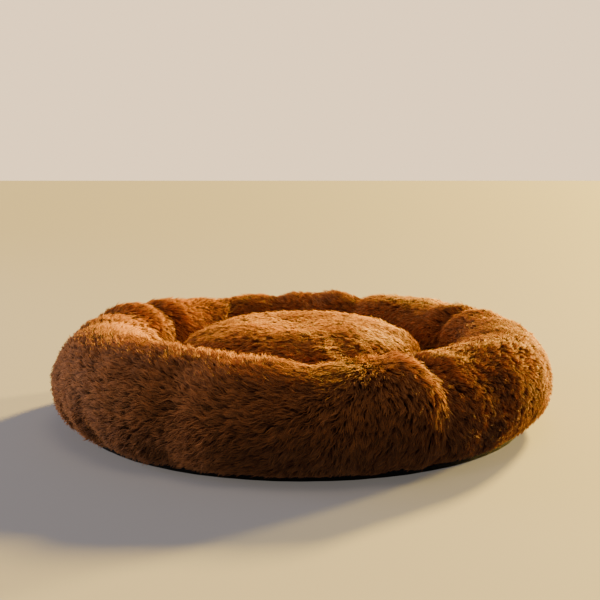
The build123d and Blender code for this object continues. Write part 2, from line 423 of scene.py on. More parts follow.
def dome_profile(t, radius, rise, shoulder):
    """Radius and height over the rim, for t from 0 at the rim to 1 at the crown."""
    crown = ((radius - shoulder) ** 2 + rise**2 - shoulder**2) / (2 * (rise - shoulder))
    turn = math.atan2(crown - rise, radius - shoulder)
    side = shoulder * turn
    top = crown * (math.pi / 2 - turn)
    run = np.asarray(t) * (side + top)
    low = np.minimum(run, side) / shoulder
    high = turn + np.maximum(run - side, 0) / crown
    on_side = run <= side
    r = np.where(on_side, radius - shoulder + shoulder * np.cos(low), crown * np.cos(high))
    z = np.where(on_side, shoulder * np.sin(low), rise - crown + crown * np.sin(high))
    return np.maximum(r, 0), z


def dome_grid(inset):
    """Points of the cushion's top, azimuth (closed) by rim to crown, and their azimuth and share."""
    front = np.linspace(-180, 180, DOME_ROUND, endpoint=False)[:, None]
    t = np.linspace(0, 1 - CROWN_HOLE, DOME_RINGS)[None, :]
    front, t = np.broadcast_arrays(front, t)
    r, z = dome_profile(t, *(size - inset - PILE_DEPTH for size in DOME))
    azimuth = np.radians(front - 90)
    points = np.stack([r * np.cos(azimuth), r * np.sin(azimuth), CUSHION_RIM_Z + z], -1)
    swell = 0.0028 * value_noise(points, 0.07, 7) + 0.0012 * value_noise(points, 0.03, 8)
    swell = swell * smoothstep(t, 0.0, 0.2)
    swell = swell + PLUMPNESS * window(t, 0.05, 0.35, 0.4, 0.8)
    gather = 0.0012 * np.cos(np.radians(front * 22 + 40 * value_noise(points, 0.05, 9)))
    gather = gather * (1 - smoothstep(t, 0.1, 0.35))
    points = points + UP * swell[..., None]
    outward = unit(points * LEVEL)
    return points + outward * (gather * smoothstep(t, 0, 0.06))[..., None], front, t


# ----------------------------------------
# The pile

BOLSTER_LENGTH = (0.0185, 0.0045)       # of the pile, and how far it varies
CUSHION_LENGTH = (0.0155, 0.004)
BOLSTER_WIDTHS = ((0.0008, 0.0012), (0.0012, 0.0018))  # of fine strands and of coarse ones
CUSHION_WIDTHS = ((0.0009, 0.0015), (0.0016, 0.0024))
STRAND_LIMIT = 12400           # strands of one piece
BOLSTER_STRANDS = 14 * STRAND_LIMIT
CUSHION_PILES = 3              # pieces of the cushion's pile
STRAND_RINGS = 3               # rings of three points below the tip
RING_WIDTHS = (0.8, 1.0, 0.75)          # of the strand's width, from the root up
RING_REPEAT = [3] * STRAND_RINGS + [1]  # points of a strand that share a point of its curve
RING_FORM = ((-1, -0.4), (0, 0.7), (1, -0.4))  # a ring's points, sideways and up, in half widths
ROUND_THREE = ((0, 1), (1, 2), (2, 0))  # neighbours round a ring
STRAND_MAP = "OFBake"          # UV layer with a strand's tone across and root to tip up
MAP_SPREAD = 0.006             # width of a strand's strip of that map, to either side
CRIMP = 7.0                    # radians of wave along a strand
CLUMP_SIZE = 9                 # strands that lean together
SOFT_SHADE = 0.22              # share of the cloth's own direction in a strand's shading
HIGHEST = OVERALL_H + 0.011    # no strand stands higher
PARTING = (14, 7, 92, 26)      # azimuth and reach, angle and reach: where the pile parts
PARTING_EXTRA = 1.6            # share of extra strands that cover the parting


def sample_grid(points, fields, count, rng, weight=None):
    """Random places on a grid that is closed round its first axis, spread by area times weight:
    position, normal, tangent round, and each field there."""
    step = np.roll(points, -1, 0) - points
    area = np.linalg.norm(np.cross(step[:, :-1], points[:, 1:] - points[:, :-1]), axis=-1)
    if weight is not None:
        area = area * weight[:, :-1]
    pick = rng.choice(area.size, count, p=(area / area.sum()).ravel())
    i, j = np.divmod(pick, area.shape[1])
    u, v = rng.random(count), rng.random(count)
    i1 = (i + 1) % len(points)

    def mix(values):
        shape = (count,) + (1,) * (values.ndim - 2)
        uu, vv = u.reshape(shape), v.reshape(shape)
        low = values[i, j] * (1 - uu) + values[i1, j] * uu
        high = values[i, j + 1] * (1 - uu) + values[i1, j + 1] * uu
        return low * (1 - vv) + high * vv

    found = [values[i, j] for values in fields]
    return mix(points), unit(mix(grid_normals(points))), unit(mix(step)), found


def comb_field(front, over, points, places, seed):
    """Combing direction (right, and up the section) and lift, blended between placed samples."""
    total = np.zeros(front.shape + (3,))
    weights = np.zeros(front.shape)
    for azimuth, angle, direction, lift, reach in places:
        gap = (turn_gap(front, azimuth) / reach) ** 2 + ((over - angle) / (2.2 * reach)) ** 2
        w = np.exp(-gap) + 1e-9
        d = math.radians(direction)
        total += w[:, None] * np.array([math.cos(d), math.sin(d), lift])
        weights += w
    total /= weights[:, None]
    swirl = 26 * value_noise(points, 0.045, seed) + 18 * value_noise(points, 0.018, seed + 1)
    swirl = np.radians(swirl)
    c, s = np.cos(swirl), np.sin(swirl)
    right = total[:, 0] * c - total[:, 1] * s
    up = total[:, 0] * s + total[:, 1] * c
    return right, up, total[:, 2]


def grow(roots, normals, heading, lift, length, curl, clump, rng):
    """Curves of the strands, an array of strand by point (root, rings and tip) by xyz, and each
    strand's clump. A strand lies down and waves along its length, and its tip leans to its clump's."""
    count = len(roots)
    steps = STRAND_RINGS
    side = unit(np.cross(normals, heading))
    points = np.zeros((count, steps + 1, 3))
    points[:, 0] = roots
    phase = 7.0 * value_noise(roots, 0.014, 71) + rng.normal(0, 0.6, count)
    twist = rng.normal(0, 0.6, count) * curl
    for k in range(steps):
        t = (k + 0.5) / steps
        angle = lift * (1.25 - 1.05 * t)
        bend = twist * t + curl * np.sin(phase + CRIMP * t)
        ahead = heading * np.cos(bend)[:, None] + side * np.sin(bend)[:, None]
        step = ahead * np.cos(angle)[:, None] + normals * np.sin(angle)[:, None]
        points[:, k + 1] = points[:, k] + unit(step) * (length / steps)[:, None]
    chosen = rng.choice(count, count // CLUMP_SIZE, replace=False)
    tree = KDTree(len(chosen))
    for n, c in enumerate(chosen):
        tree.insert(roots[c], n)
    tree.balance()
    near = np.array([tree.find(p)[1] for p in roots])
    guide = points[chosen[near]]
    for k in range(1, steps + 1):
        pull = clump * (k / steps) ** 1.2
        points[:, k] += (guide[:, k] - points[:, k]) * pull[:, None]
    return points, near


def strands(name, points, normals, width, tone):
    """A mesh of closed, tapering three-sided strands."""
    ahead = unit(np.gradient(points, axis=1))
    side = unit(np.cross(normals[:, None], ahead))
    above = unit(np.cross(ahead, side))
    middle = np.repeat(points, RING_REPEAT, axis=1)
    verts = middle.copy()
    for k, share in enumerate(RING_WIDTHS):
        half = (width * share / 2)[:, None]
        for m, (right, up) in enumerate(RING_FORM):
            verts[:, 3 * k + m] = points[:, k] + side[:, k] * half * right + above[:, k] * half * up
    count, per, last = len(points), verts.shape[1], verts.shape[1] - 4
    faces = [(0, 1, 2)]
    for k in range(0, last, 3):
        faces += [(k + n, k + m, k + m + 3, k + n + 3) for m, n in ROUND_THREE]
    faces += [(last + n, last + m, per - 1) for m, n in ROUND_THREE]
    loops = (np.concatenate(faces)[None] + (np.arange(count) * per)[:, None]).ravel()
    sizes = np.tile([len(face) for face in faces], count)
    mesh = bpy.data.meshes.new(name)
    mesh.vertices.add(count * per)
    mesh.vertices.foreach_set("co", verts.astype(np.float32).ravel())
    mesh.loops.add(len(loops))
    mesh.loops.foreach_set("vertex_index", loops.astype(np.int32))
    mesh.polygons.add(len(sizes))
    mesh.polygons.foreach_set("loop_start", (np.cumsum(sizes) - sizes).astype(np.int32))
    mesh.update(calc_edges=True)
    along = np.repeat(np.arange(STRAND_RINGS + 1) / STRAND_RINGS, RING_REPEAT)
    across = np.append(np.tile([0, MAP_SPREAD, 2 * MAP_SPREAD], STRAND_RINGS), MAP_SPREAD)
    across = np.clip(tone, 0.01, 0.97)[:, None] + across
    uv = np.stack(np.broadcast_arrays(across, 0.01 + 0.98 * along), -1)
    layer = mesh.uv_layers.new(name=STRAND_MAP)
    layer.data.foreach_set("uv", uv.reshape(-1, 2)[loops].astype(np.float32).ravel())
    piece = link(name, mesh, PILE)
    shade = unit(unit(verts - middle) * (1 - SOFT_SHADE) + normals[:, None] * SOFT_SHADE)
    mesh.normals_split_custom_set_from_vertices(shade.reshape(-1, 3))
    return piece


# azimuth from the front, angle round the section, direction (0 right, 90 up and over), lift, reach
BOLSTER_COMB = [
    (-95, 0, -155, 0.45, 16), (-75, -35, -165, 0.45, 14), (-75, 20, -170, 0.42, 14),
    (-55, -10, -165, 0.4, 14), (-42, 40, 175, 0.45, 12), (-38, -35, -135, 0.42, 12),
    (-20, 10, -170, 0.4, 10), (-14, -35, -160, 0.42, 10), (-20, 50, 165, 0.45, 9),
    (-11, 22, 172, 0.4, 6), (-8, 58, 155, 0.42, 7), (-2, 72, 162, 0.42, 6),
    (-2, 96, 140, 0.85, 5), (-2, 30, -170, 0.42, 6), (-2, 5, -140, 0.42, 6),
    (1, 50, -172, 0.4, 6), (9, 18, -125, 0.42, 7), (10, 46, -138, 0.4, 6),
    (7, 70, -152, 0.38, 6), (6, 90, -160, 0.45, 6), (6, 106, -160, 0.5, 6),
    (6, 124, -175, 0.42, 6), (7, 142, 140, 0.45, 7), (13, 82, -108, 0.36, 5),
    (13, 104, -106, 0.38, 6), (13, 124, -106, 0.42, 6), (6, -38, -130, 0.42, 8),
    (20, -38, -125, 0.42, 9), (19, 10, -108, 0.45, 8), (18, 42, -98, 0.42, 7),
    (17, 66, -92, 0.38, 6), (17, 88, -70, 0.38, 6), (18, 106, -55, 0.4, 6),
    (18, 124, -38, 0.42, 6), (19, 142, 20, 0.45, 7), (26, 45, -72, 0.45, 6),
    (26, 72, -45, 0.42, 6), (26, 92, -15, 0.45, 6), (32, 50, -45, 0.5, 5),
    (32, 25, -70, 0.45, 6), (45, 50, -30, 0.5, 12), (50, 5, -70, 0.6, 14),
    (50, -40, -100, 0.5, 12), (80, 10, -50, 0.75, 18), (110, 0, -90, 0.55, 22),
    (150, 0, -110, 0.5, 22), (180, 0, -70, 0.5, 22), (-150, 0, -100, 0.5, 22),
    (-120, 0, -120, 0.5, 20), (-12, 90, 120, 0.75, 12), (-28, 90, 135, 0.7, 10),
    (27, 114, 20, 0.5, 7), (-48, 90, 165, 0.5, 14), (-90, 85, 160, 0.45, 20),
    (-130, 85, 130, 0.6, 20), (40, 90, 20, 0.45, 10), (90, 85, 60, 0.6, 20),
    (135, 85, 60, 0.65, 20), (180, 80, -90, 0.8, 22), (-6, 145, 90, 0.5, 12),
    (13, 165, 90, 0.5, 10), (90, 160, 60, 0.5, 30), (180, 140, 20, 0.5, 30),
    (-90, 160, 110, 0.5, 30),
]


def gore_of(front):
    """Which gore each azimuth from the front lies in, from 0."""
    return np.floor(((front - (FIRST_SEAM + 90)) % 360) / (360 / GORES)).astype(int)


def strand_widths(kind, widths, rng):
    """Widths of strands from two ranges; kind, from 0 to 1, makes three in five fine."""
    fine, coarse = (rng.uniform(*width, len(kind)) for width in widths)
    return np.where(kind < 0.6, fine, coarse)


def pile_pieces(stem, groups, each_strand, body, node):
    """A piece of pile for each group of strands."""
    made = []
    for part, at in enumerate(groups):
        piece = strands(f"{stem}_{part + 1}", *(values[at] for values in each_strand))
        made.append(own(piece, body, node))
    return made


def plant_bolster(grid, front, over):
    """The bolster's pile: a list of pieces for each gore."""
    rng = np.random.default_rng(SEED)
    count = BOLSTER_STRANDS
    azimuth, reach_round, angle, reach_over = PARTING
    parting = (turn_gap(front, azimuth) / reach_round) ** 2 + ((over - angle) / reach_over) ** 2
    weight = 1 - 0.6 * smoothstep(over, 185, 200)
    weight = weight * (1 + PARTING_EXTRA * np.exp(-parting))
    roots, normal, round_, (f, o) = sample_grid(grid, (front, over), count, rng, weight)
    right, up, lift = comb_field(f, o, roots, BOLSTER_COMB, 31)
    climb = unit(np.cross(normal, round_))
    heading = unit(round_ * right[:, None] + climb * up[:, None])

    curly = window(f, 26, 40, 100, 130)
    kind = rng.random(count)
    usual, spread = BOLSTER_LENGTH
    length = (usual + spread * rng.normal(0, 0.6, count)) * (1 - 0.35 * curly)
    length = length * (1 + 0.15 * value_noise(roots, 0.05, 41))
    length = length * (1 - 0.25 * smoothstep(-o, 35, 53))
    lift = lift + 0.20 * rng.normal(0, 0.6, count) * (1 + 0.15 * curly)
    lift = np.clip(lift, 0.12, 1.35)
    width = strand_widths(kind, BOLSTER_WIDTHS, rng)
    clump = np.clip(0.50 + 0.20 * value_noise(roots, 0.02, 43), 0.20, 0.75)
    points, clumps = grow(roots, normal, heading, lift, length, 0.45 + 0.35 * curly, clump, rng)

    base_shows = window(f, -18, 5, 60, 80) * (0.75 + 0.25 * value_noise(roots, 0.02, 44))
    lowest = (0.0015 + 0.010 * base_shows)[:, None]
    points[..., 2] = np.clip(points[..., 2], lowest, HIGHEST)
    tuft = np.random.default_rng(5).random(clumps.max() + 1)
    tone = 0.5 + 0.16 * value_noise(roots, 0.05, 51) + 0.30 * (tuft[clumps] - 0.5)
    tone = tone + 0.14 * rng.normal(0, 1, count)
    gore = gore_of(f)
    each_strand = (points, normal, width, tone)
    made = []
    for g in range(GORES):
        mine = np.flatnonzero(gore == g)
        mine = mine[np.argsort(o[mine], kind="stable")]
        groups = np.array_split(mine, math.ceil(len(mine) / STRAND_LIMIT))
        node = f"bolster_gore_{g + 1}"
        made.append(pile_pieces(f"gore_{g + 1}_pile", groups, each_strand, "bed_body", node))
    return made


def plant_cushion(grid, front, t):
    """The cushion's pile: a list of pieces, side by side round the dome."""
    rng = np.random.default_rng(SEED + 1)
    count = CUSHION_PILES * STRAND_LIMIT
    roots, normal, _, (f, h) = sample_grid(grid, (front, t), count, rng)
    swirl = np.radians(40 * value_noise(roots, 0.05, 61) + 18 * value_noise(roots, 0.017, 62))
    level = unit(np.stack([-np.cos(swirl), np.sin(swirl) - 0.35, np.zeros(count)], -1))
    heading = unit(level - normal * np.sum(level * normal, -1, keepdims=True))
    drape = (1 - smoothstep(h, 0.02, 0.22))[:, None]
    down = unit(roots * LEVEL) * 0.35 - UP
    down = unit(down - normal * np.sum(down * normal, -1, keepdims=True))
    heading = unit(heading * (1 - drape) + drape * down)

    usual, spread = CUSHION_LENGTH
    length = usual + spread * rng.normal(0, 0.6, count)
    lift = np.clip(0.48 + 0.2 * rng.normal(0, 0.6, count), 0.12, 1.2)
    kind = rng.random(count)
    width = strand_widths(kind, CUSHION_WIDTHS, rng)
    clump = np.clip(0.5 + 0.25 * value_noise(roots, 0.02, 63), 0.15, 0.8)
    points, clumps = grow(roots, normal, heading, lift, length, np.full(count, 0.45), clump, rng)
    tuft = np.random.default_rng(6).random(clumps.max() + 1)
    tone = 0.52 + 0.16 * value_noise(roots, 0.05, 64) + 0.22 * (tuft[clumps] - 0.5)
    tone = tone + 0.13 * rng.normal(0, 1, count)
    groups = np.array_split(np.argsort(f, kind="stable"), CUSHION_PILES)
    each_strand = (points, normal, width, tone)
    return pile_pieces("cushion_pile", groups, each_strand, "cushion", "cushion_top_panel")


# ----------------------------------------
# Materials

def new_material(name):
    material = bpy.data.materials.new(name)
    material.use_nodes = True
    nodes = material.node_tree.nodes
    return material, nodes, material.node_tree.links, nodes["Principled BSDF"]


def put(node, values):
    """Constants for a node's own sockets."""
    for socket, value in values.items():
        node.inputs[socket].default_value = value


def ramp(nodes, stops):
    node = nodes.new("ShaderNodeValToRGB")
    elements = node.color_ramp.elements
    while len(elements) < len(stops):
        elements.new(0.5)
    for element, (place, colour) in zip(elements, stops):
        element.position = place
        element.color = (*colour, 1)
    return node


def mottle(nodes, links, shader, scale, stops):
    """A base colour that varies with noise over the object; returns the object's coordinates."""
    where = nodes.new("ShaderNodeTexCoord").outputs["Object"]
    noise = nodes.new("ShaderNodeTexNoise")
    put(noise, {"Scale": scale})
    links.new(where, noise.inputs["Vector"])
    colours = ramp(nodes, stops)
    links.new(noise.outputs["Fac"], colours.inputs[0])
    links.new(colours.outputs[0], shader.inputs["Base Color"])
    return where


def pile_material():
    """Fur: dark at the roots and caramel at the tips, each strand with a tone of its own."""
    material, nodes, links, shader = new_material("plush_pile")
    uv = nodes.new("ShaderNodeUVMap")
    uv.uv_map = STRAND_MAP
    split = nodes.new("ShaderNodeSeparateXYZ")
    links.new(uv.outputs["UV"], split.inputs[0])
    mix = nodes.new("ShaderNodeMix")
    mix.data_type = "RGBA"
    links.new(split.outputs["X"], mix.inputs[0])
    for socket, colours in zip((6, 7), (DEEP_STRAND, PALE_STRAND)):
        along = ramp(nodes, list(zip((0.0, 0.35, 1.0), colours)))
        links.new(split.outputs["Y"], along.inputs[0])
        links.new(along.outputs[0], mix.inputs[socket])
    links.new(mix.outputs[2], shader.inputs["Base Color"])
    put(shader, {"Roughness": 0.62, "Specular IOR Level": 0.12})
    put(shader, {"Sheen Weight": 0.30, "Sheen Roughness": 0.45, "Sheen Tint": (1.0, 0.52, 0.18, 1)})
    return material


def fabric_material(name, dark, light, thread):
    """Plain woven cloth: crossed threads of a given width, with mottled colour."""
    material, nodes, links, shader = new_material(name)
    where = mottle(nodes, links, shader, 60, [(0.3, dark), (0.75, light)])
    weave = nodes.new("ShaderNodeMath")
    weave.operation = "MULTIPLY"
    for socket, axis in enumerate(("X", "Y")):
        wave = nodes.new("ShaderNodeTexWave")
        wave.wave_type = "BANDS"
        wave.bands_direction = axis
        put(wave, {"Scale": 0.31 / thread, "Distortion": 0.6})
        links.new(where, wave.inputs["Vector"])
        links.new(wave.outputs["Fac"], weave.inputs[socket])
    bump = nodes.new("ShaderNodeBump")
    put(bump, {"Strength": 0.25, "Distance": thread})
    links.new(weave.outputs[0], bump.inputs["Height"])
    links.new(bump.outputs[0], shader.inputs["Normal"])
    put(shader, {"Roughness": 0.85, "Specular IOR Level": 0.2})
    return material


def moulded_material(name, dark, light, roughness, metallic=0.0):
    material, nodes, links, shader = new_material(name)
    mottle(nodes, links, shader, 300, [(0.35, dark), (0.7, light)])
    put(shader, {"Roughness": roughness, "Metallic": metallic})
    return material


# Colours at the root, a third of the way up and at the tip, of the deepest and the palest strand
DEEP_STRAND = ((0.012, 0.005, 0.003), (0.07, 0.026, 0.012), (0.24, 0.088, 0.034))
PALE_STRAND = ((0.020, 0.008, 0.004), (0.20, 0.072, 0.030), (0.80, 0.292, 0.084))
PILE = pile_material()

# Fabrics: two colours and the width of a thread
BACKING_CLOTH = fabric_material("plush_backing", (0.035, 0.010, 0.004), (0.06, 0.02, 0.008), 0.0012)
BASE_CLOTH = fabric_material("base_fabric", (0.004, 0.004, 0.004), (0.008, 0.008, 0.008), 0.0009)
BASE_THREAD = fabric_material("base_thread", (0.018, 0.018, 0.019), (0.035, 0.035, 0.036), 0.0003)
LINING = fabric_material("lining", (0.10, 0.045, 0.02), (0.15, 0.07, 0.035), 0.0007)
LINING_THREAD = fabric_material("lining_thread", (0.13, 0.06, 0.03), (0.20, 0.10, 0.05), 0.0003)
FIBRE = fabric_material("fibre", (0.75, 0.74, 0.71), (0.86, 0.85, 0.82), 0.003)
BAG = fabric_material("bag", (0.70, 0.69, 0.66), (0.80, 0.79, 0.76), 0.001)
LABEL = fabric_material("label", (0.70, 0.69, 0.65), (0.78, 0.77, 0.73), 0.0004)
ZIP_TAPE = fabric_material("zip_tape", (0.05, 0.022, 0.010), (0.08, 0.035, 0.016), 0.0006)

# Moulded parts: two colours, roughness and metallic
GRIP = moulded_material("grip_dots", (0.018, 0.018, 0.020), (0.030, 0.030, 0.032), 0.42)
ZIP_TEETH = moulded_material("zip_teeth", (0.045, 0.020, 0.010), (0.065, 0.030, 0.015), 0.45)
ZIP_METAL = moulded_material("zip_metal", (0.12, 0.07, 0.045), (0.16, 0.10, 0.06), 0.35, 0.8)


# ----------------------------------------
# Build

def close_bottom(index):
    """Faces from the inner seam back to the outer one, under the ring."""
    after = np.roll(index, -1, 0)
    return np.stack([index[:, -1], after[:, -1], after[:, 0], index[:, 0]], -1).tolist()


def build_bolster():
    grid, held, front, over = bolster_grid(PILE_DEPTH + SWELL)
    grid = inflate("bolster_cloth", grid, held, close_bottom, pressure=4.0, most=0.005)
    normals = grid_normals(grid)
    inner = grid - normals * BACKING
    pile = plant_bolster(grid, front, over)
    per = GRID_ROUND // GORES
    first = round((FIRST_SEAM + 270) / 360 * GRID_ROUND)
    for g in range(GORES):
        rows = np.arange(first + per * g, first + per * (g + 1) + 1) % GRID_ROUND
        piece = grid_shell(f"gore_{g + 1}_backing", grid[rows], inner[rows], BACKING_CLOTH)
        own(piece, "bed_body", f"bolster_gore_{g + 1}")
    build_stuffing(grid - normals * (BACKING + STUFFING_GAP))


def build_stuffing(grid):
    """The ring of fibre under the gores, closed along its flat bottom."""
    index = number(grid)
    faces = grid_faces(np.concatenate([index, index[:, :1]], 1))
    piece = new_object("bolster_stuffing", grid, faces, FIBRE)
    own(piece, "bed_body", "bolster_fill")


def close_dome(index):
    """The flat underside, and the small hole at the crown."""
    return [index[::-1, 0].tolist(), index[:, -1].tolist()]


def close_round(grid):
    """A grid with its first row again at its end."""
    return np.concatenate([grid, grid[:1]])


def build_cushion():
    grid, front, t = dome_grid(SWELL)
    held = 1 - smoothstep(t, 0.0, 0.03)            # by the seam round the rim
    grid = inflate("cushion_cloth", grid, held, close_dome, pressure=2.0, most=0.010)
    normals = grid_normals(grid)
    outer, inner = close_round(grid), close_round(grid - normals * BACKING)
    piece = grid_shell("cushion_top_backing", outer, inner, BACKING_CLOTH)
    own(piece, "cushion", "cushion_top_panel")
    pile = plant_cushion(grid, front, t)
    build_cushion_inside(grid, normals)


# Base: a fabric panel with raised grip dots underneath, and a band that turns up to the fur

PANEL_UNDER = 0.0009           # height of the panel's underside on its dots
GRIP_PITCH = 0.016
GRIP_RADIUS = 0.0026
GRIP_SIDES = 8
BAND_WAVE = 0.0008             # the most that the base's edge wanders in
BAND_THICK = 0.0025


def band_radius(azimuth):
    """How far the base's edge stands out from its full radius."""
    broad = 0.6 * np.sin(23 * azimuth + 1.3 * np.sin(5 * azimuth))
    return -BAND_WAVE * (1 + broad + 0.4 * np.sin(61 * azimuth)) / 2


def follow_band(points):
    """The outer part of the base, moved to its wandering edge."""
    azimuth = np.arctan2(points[..., 1], points[..., 0])
    radius = np.hypot(points[..., 0], points[..., 1])
    edge = smoothstep(radius, BASE_R - 0.02, BASE_R - 0.004)
    outward, _ = around(azimuth)
    return points + outward * (edge * band_radius(azimuth))[..., None]


def build_panel():
    top = BAND_LOW
    rim = BASE_R - 0.0006
    panel = [(0, PANEL_UNDER), (0.09, PANEL_UNDER), (0.18, PANEL_UNDER), (rim - 0.0015, PANEL_UNDER)]
    panel += [(rim, (PANEL_UNDER + top) / 2), (rim - 0.001, top), (0.15, top), (0, top)]
    piece = turned("base_panel", panel, BASE_CLOTH, shape=follow_band)
    own(piece, "bed_body", "base_nonslip_panel")


def build_grip_dots():
    steps = np.arange(-20, 21)
    a, b = np.meshgrid(steps, steps)
    x, y = GRIP_PITCH * (a + b / 2), GRIP_PITCH * b * math.sqrt(0.75)
    places = np.stack([x, y, np.zeros(a.shape)], -1).reshape(-1, 3)
    places = places[np.hypot(places[:, 0], places[:, 1]) < BASE_R - 0.012]
    n = GRIP_SIDES
    turn = np.linspace(0, -2 * math.pi, n, endpoint=False)
    wide = GRIP_RADIUS
    rings = [(wide * 0.62, 0.0), (wide, 0.0005), (wide, PANEL_UNDER + 0.0002)]
    verts = [(r * math.cos(t), r * math.sin(t), z) for r, z in rings for t in turn]
    faces = [tuple(range(n)), tuple(range(3 * n - 1, 2 * n - 1, -1))]
    for first in (0, n):
        for m in range(n):
            after = (m + 1) % n
            faces.append((first + n + m, first + n + after, first + after, first + m))
    right = np.tile([1.0, 0, 0], (len(places), 1))
    up = np.tile(UP, (len(places), 1))
    dots = copies("base_grip_dots", np.array(verts), faces, places, right, up, GRIP)
    own(dots, "bed_body", "base_nonslip_panel")


def build_band():
    low, high = BAND_LOW - 0.0006, BASE_TOP + 0.0008
    middle = (low + high) / 2
    band = [(BASE_R - 0.0008, low), (BASE_R, middle), (BASE_R - 0.0010, high)]
    band += [(BASE_R - BAND_THICK - 0.001, high), (BASE_R - BAND_THICK, low)]
    piece = turned("base_band", band, BASE_CLOTH, shape=follow_band)
    own(piece, "bed_body", "base_side_band")
    azimuth = np.arange(0, 2 * math.pi, STITCH_PITCH / BASE_R)
    outward, along = around(azimuth)
    places = outward * (BASE_R + band_radius(azimuth))[:, None] + UP * middle
    piece = stitches("base_stitching", places, along, outward, BASE_THREAD)
    own(piece, "bed_body", None)


# Well: the lining that the cushion lies on, and the blank label in the base seam

LABEL_HALF = 0.015             # half its width
LABEL_HIDDEN = 0.003           # of its length, in the seam
LABEL_THICK = 0.0005
LABEL_DROOP = 0.0022


def build_well():
    least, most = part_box("floor_lining")
    low, high, edge = least.z, most.z, most.x
    radii = np.linspace(0, edge - 0.001, 26)
    under = [(r, low + 0.0002) for r in radii]
    over = [(r, high - 0.0006) for r in radii[::-1]]

    def crease(points):
        rise = 0.0005 * value_noise(points, 0.05, 81) + 0.0002 * value_noise(points, 0.017, 82)
        upper = points[..., 2] > (low + high) / 2
        return points + UP * (rise * upper)[..., None]

    lining = turned("well_lining", under + over, LINING, shape=crease)
    own(lining, "bed_body", "floor_lining")


def build_label():
    least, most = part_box("care_label")
    inner = least.y - LABEL_HIDDEN
    across, out = np.meshgrid(np.linspace(-1, 1, 13), np.linspace(0, 1, 15), indexing="ij")
    droop = LABEL_DROOP * out**2 + 0.0004 * np.sin(2.4 * across + 1) * out
    sheet = np.stack([across * LABEL_HALF, inner + out * (most.y - inner), most.z - droop], -1)
    label = grid_shell("care_tab", sheet, sheet - UP * LABEL_THICK, LABEL)
    own(label, "bed_body", "care_label")


# Cushion: plush dome, sewn round its rim to a tapered lining with a zip across the back

CUSHION_BOTTOM_R = 0.127
ZIP_LOW, ZIP_HIGH = 0.0265, 0.0375     # heights of the slot for the zip
ZIP_START, ZIP_END = 40.0, 140.0       # and its ends, degrees from +X
LINING_THICK = 0.0012
BAG_INSET, BAG_THICK = 0.0030, 0.0007  # of the inner bag under the plush's backing
FIBRE_INSET = 0.0050


def flank_radius(z):
    """Radius of the cushion's tapered flank at a height."""
    share = (z - CUSHION_BOTTOM) / (CUSHION_RIM_Z - CUSHION_BOTTOM)
    return CUSHION_BOTTOM_R + share * (CUSHION_RIM_R - CUSHION_BOTTOM_R)


def lining_grid(heights, degrees):
    """Points of the cushion's flank, pulled into gathers along the rim but flat round the zip."""
    azimuth, z = np.meshgrid(np.radians(degrees), heights, indexing="ij")
    outward, _ = around(azimuth)
    points = outward * flank_radius(z)[..., None] + UP * z[..., None]
    near_zip = smoothstep(np.abs(turn_gap(np.degrees(azimuth), 90)), 52, 60)
    near_zip = np.maximum(near_zip, smoothstep(z, ZIP_HIGH + 0.002, ZIP_HIGH + 0.007))
    near_zip = np.maximum(near_zip, 1 - smoothstep(z, ZIP_LOW - 0.007, ZIP_LOW - 0.002))
    gather = np.cos(46 * azimuth + 5 * value_noise(points, 0.05, 91))
    gather = gather * smoothstep(z, 0.030, CUSHION_RIM_Z)
    sag = value_noise(points, 0.035, 92)
    return points + outward * (near_zip * (0.0011 * gather + 0.0012 * sag - 0.0006))[..., None]


def build_lining():
    """The flank above, beside and below the zip, the bottom, and the stitches along the zip."""
    fold = CUSHION_BOTTOM + 0.002
    whole = np.linspace(0, 360, 361)
    beside = np.linspace(ZIP_END, 360 + ZIP_START, 261)
    for name, heights, degrees in (
        ("upper", np.linspace(ZIP_HIGH, CUSHION_RIM_Z, 9), whole),
        ("side", np.linspace(ZIP_LOW, ZIP_HIGH, 7), beside),
        ("lower", np.linspace(fold, ZIP_LOW, 8), whole),
    ):
        grid = lining_grid(heights, degrees)
        inner = grid - unit(grid * LEVEL) * LINING_THICK
        piece = grid_shell(f"cushion_lining_{name}", grid, inner, LINING)
        own(piece, "cushion", "cushion_bottom_panel")
    radii = np.linspace(CUSHION_BOTTOM_R - 0.002, 0, 18)
    rim = flank_radius(fold)
    under = [(r, CUSHION_BOTTOM + 0.0002) for r in radii[::-1]]
    over = [(r, CUSHION_BOTTOM + 0.0002 + LINING_THICK) for r in radii]
    edge = [(rim, fold), (rim - LINING_THICK, fold)]
    disc = turned("cushion_lining_bottom", under + edge + over, LINING)
    own(disc, "cushion", "cushion_bottom_panel")

    degrees = np.arange(ZIP_START - 2, ZIP_END + 2, math.degrees(STITCH_PITCH / CUSHION_RIM_R))
    for name, z in (("above", ZIP_HIGH + 0.0015), ("below", ZIP_LOW - 0.0015)):
        outward, along = around(np.radians(degrees))
        places = outward * flank_radius(z) + UP * z
        piece = stitches(f"zip_stitching_{name}", places, along, outward, LINING_THREAD)
        own(piece, "cushion", None)


def build_cushion_inside(grid, normals):
    """The upper half of the bag of fibre inside the cover, and the fibre."""
    bag = grid - normals * BAG_INSET
    outer, inner = close_round(bag), close_round(bag - normals * BAG_THICK)
    crown = grid_shell("inner_bag_crown", outer, inner, BAG)
    own(crown, "cushion", "inner_bag_top")

    dome = grid - normals * FIBRE_INSET
    outward = unit(dome[:, :1] * LEVEL)
    heights = np.linspace(CUSHION_BOTTOM + 0.0055, CUSHION_RIM_Z - 0.004, 12)
    flank = outward * (flank_radius(heights) - 0.006)[None, :, None] + UP * heights[None, :, None]
    points = np.concatenate([flank, dome], 1)
    index = number(points)
    stuffing = new_object("cushion_stuffing", points, grid_faces(index) + close_dome(index), FIBRE)
    own(stuffing, "cushion", "cushion_fill")


build_bolster()
build_cushion()
build_lining()
build_well()
build_label()
build_panel()
build_grip_dots()
build_band()

